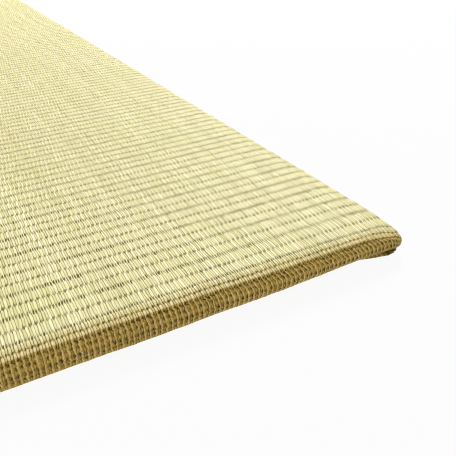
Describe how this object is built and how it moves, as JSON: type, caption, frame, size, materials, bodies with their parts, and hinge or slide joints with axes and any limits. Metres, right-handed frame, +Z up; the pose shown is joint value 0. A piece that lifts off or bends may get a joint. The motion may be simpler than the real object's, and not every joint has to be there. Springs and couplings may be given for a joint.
{
  "type": "tatami mat",
  "caption": "Thin square borderless floor mat: a ribbed woven rush cover folded over the soft rounded edges of a flat board.",
  "frame": {"origin": "centre of the rectangle that the mat rests on, on the floor", "axes": "+X along the woven ribs, +Y along the rushes, +Z up through the thickness"},
  "size_m": [0.82, 0.82, 0.0125],
  "materials": {
    "rush": "dry woven rush, pale yellow-green, low satin sheen"
  },
  "bodies": {
    "root": {"rush_mat": "rush"}
  },
  "joints": []
}
